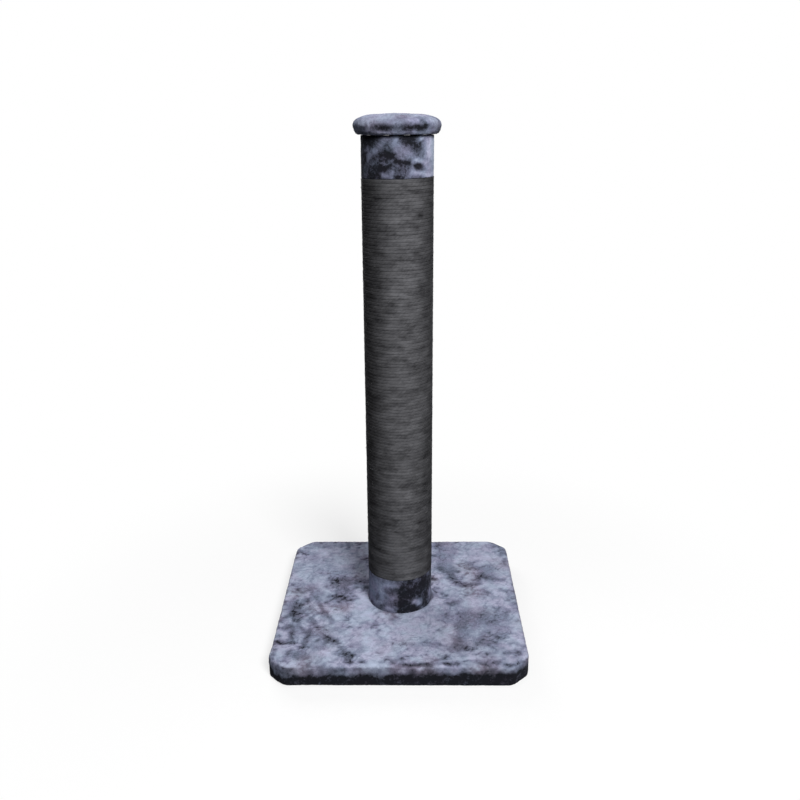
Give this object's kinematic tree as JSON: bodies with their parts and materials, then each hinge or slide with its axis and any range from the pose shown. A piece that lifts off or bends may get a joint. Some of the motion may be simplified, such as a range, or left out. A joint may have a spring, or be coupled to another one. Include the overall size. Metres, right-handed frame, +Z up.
{
  "type": "cat scratching post",
  "caption": "Upright rope-wound scratching post on a flat square plush-covered base, with plush bands at foot and head and a padded round cap.",
  "frame": {"origin": "centre of the base's underside, on the floor", "axes": "+Z up along the post, +X to the viewer's right, +Y away from the viewer"},
  "size_m": [0.5, 0.5, 1.0286],
  "materials": {
    "plush": "matte",
    "sisal": "matte",
    "particle_board": "matte",
    "plywood": "matte",
    "tube_board": "matte",
    "backing_cloth": "matte",
    "foam": "matte",
    "staple_steel": "satin",
    "zinc_steel": "satin"
  },
  "bodies": {
    "root": {"base_cover": "plush", "base_board": "particle_board", "base_backing_cloth": "backing_cloth", "cover_staples": "staple_steel", "backing_staples": "staple_steel", "base_bolt": "zinc_steel", "base_washer": "zinc_steel", "lower_insert_nut": "zinc_steel", "lower_plug": "plywood", "lower_plug_screws": "zinc_steel", "post_tube": "tube_board", "lower_sleeve": "plush", "rope_lower_turns": "sisal", "rope_field": "sisal", "rope_upper_turns": "sisal", "upper_sleeve": "plush", "upper_plug": "plywood", "upper_plug_screws": "zinc_steel", "upper_insert_nut": "zinc_steel", "cap_stud": "zinc_steel", "cap_insert_nut": "zinc_steel", "cap_board": "plywood", "cap_padding": "foam", "cap_cover": "plush", "cap_staples": "staple_steel"}
  },
  "joints": []
}
